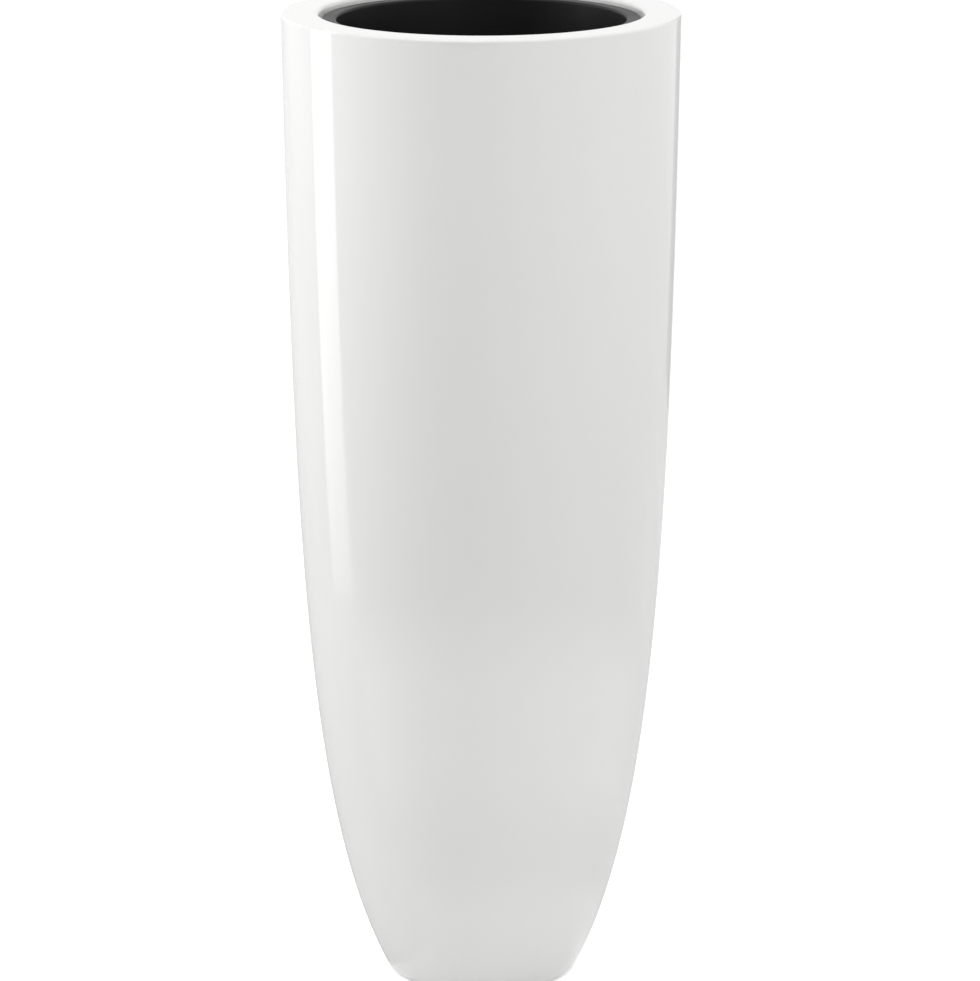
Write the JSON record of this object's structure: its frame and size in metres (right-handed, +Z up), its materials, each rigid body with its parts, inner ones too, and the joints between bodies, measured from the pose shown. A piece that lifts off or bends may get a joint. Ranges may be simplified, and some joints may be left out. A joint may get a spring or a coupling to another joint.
{
  "type": "floor vase",
  "caption": "Tall tapered floor vase with a broad flat rim, and a planting insert with swinging lift handles and a drain plug that lifts out of its mouth.",
  "frame": {"origin": "on the floor under the middle of the foot, level with the undersides of the pads", "axes": "+Z up along the vase's axis, -Y towards the viewer of the picture, +X to that viewer's right"},
  "size_m": [0.4, 0.3998, 1],
  "materials": {
    "gloss_lacquer": "high-gloss white lacquer on a glass-fibre laminate",
    "raw_laminate": "unpainted glass-fibre laminate",
    "cast_mortar": "cast grey mortar",
    "pad_rubber": "matt black rubber",
    "insert_plastic": "satin black moulded polypropylene",
    "coated_wire": "black coated steel wire",
    "plug_rubber": "matt dark grey rubber"
  },
  "bodies": {
    "shell": {"outer_shell": "gloss_lacquer", "ledge_ring": "raw_laminate", "foot_ballast": "cast_mortar", "floor_pad_1": "pad_rubber", "floor_pad_2": "pad_rubber", "floor_pad_3": "pad_rubber", "floor_pad_4": "pad_rubber"},
    "insert": {"insert_pot": "insert_plastic"},
    "front_handle": {"lift_handle_front": "coated_wire"},
    "back_handle": {"lift_handle_back": "coated_wire"},
    "plug": {"insert_drain_plug": "plug_rubber"}
  },
  "joints": [
    {"name": "insert_lift", "type": "slide", "parent": "shell", "child": "insert", "axis": [0, 0, 1], "range_m": [0, 0.36]},
    {"name": "front_handle_swing", "type": "hinge", "parent": "insert", "child": "front_handle", "pos_m": [0, -0.11965, 0.948], "axis": [1, 0, 0], "range_deg": [0, 180]},
    {"name": "back_handle_swing", "type": "hinge", "parent": "insert", "child": "back_handle", "pos_m": [0, 0.11965, 0.948], "axis": [-1, 0, 0], "range_deg": [0, 180]},
    {"name": "plug_pull", "type": "slide", "parent": "insert", "child": "plug", "axis": [0, 0, 1], "range_m": [0, 0.04]}
  ]
}
